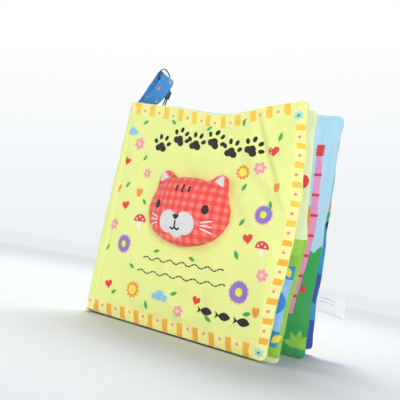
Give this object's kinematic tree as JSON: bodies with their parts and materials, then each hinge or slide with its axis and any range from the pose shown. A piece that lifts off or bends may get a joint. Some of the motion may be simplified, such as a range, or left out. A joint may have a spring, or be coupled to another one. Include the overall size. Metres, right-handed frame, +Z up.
{
  "type": "padded cloth picture book",
  "caption": "Padded cloth picture book for a baby, stood open in a fan, with a stuffed cat head on its front cover, a ribbon carry loop and a care label.",
  "frame": {"origin": "on the floor under the fold of the inner sheet, midway between the two covers at the spine", "axes": "+X from the spine towards the fore edges, +Y from the front cover towards the back cover, +Z up along the spine"},
  "size_m": [0.2259, 0.1228, 0.2407],
  "materials": {
    "cover_cloth": "matte printed cotton",
    "page_cloth": "matte printed cotton",
    "spine_cloth": "matte printed cotton",
    "ribbon": "satin ribbon",
    "gingham": "matte woven check",
    "white_felt": "matte felt",
    "black_thread": "satin stitched thread",
    "white_thread": "satin stitched thread",
    "label_satin": "satin",
    "black_cord": "waxed cord",
    "black_plastic": "gloss"
  },
  "bodies": {
    "book_block": {"spine": "spine_cloth", "pages": "page_cloth", "carry_loop": "ribbon", "tag_cord": "black_cord", "cord_lock": "black_plastic", "cord_knot": "black_cord"},
    "front_cover": {"front_cover": "cover_cloth", "head": "gingham", "left_ear_lining": "white_felt", "right_ear_lining": "white_felt", "muzzle": "white_felt", "left_eye": "black_thread", "right_eye": "black_thread", "nose": "black_thread", "mouth": "black_thread", "whiskers": "white_thread", "forehead_stripes": "black_thread"},
    "back_cover": {"back_cover": "page_cloth", "care_label": "label_satin"}
  },
  "joints": [
    {"name": "front_cover_hinge", "type": "hinge", "parent": "book_block", "child": "front_cover", "pos_m": [0.00317, -0.01373, 0], "axis": [0, 0, -1], "range_deg": [0, 150]},
    {"name": "back_cover_hinge", "type": "hinge", "parent": "book_block", "child": "back_cover", "pos_m": [0.00317, 0.01373, 0], "axis": [0, 0, 1], "range_deg": [-6, 150]}
  ]
}
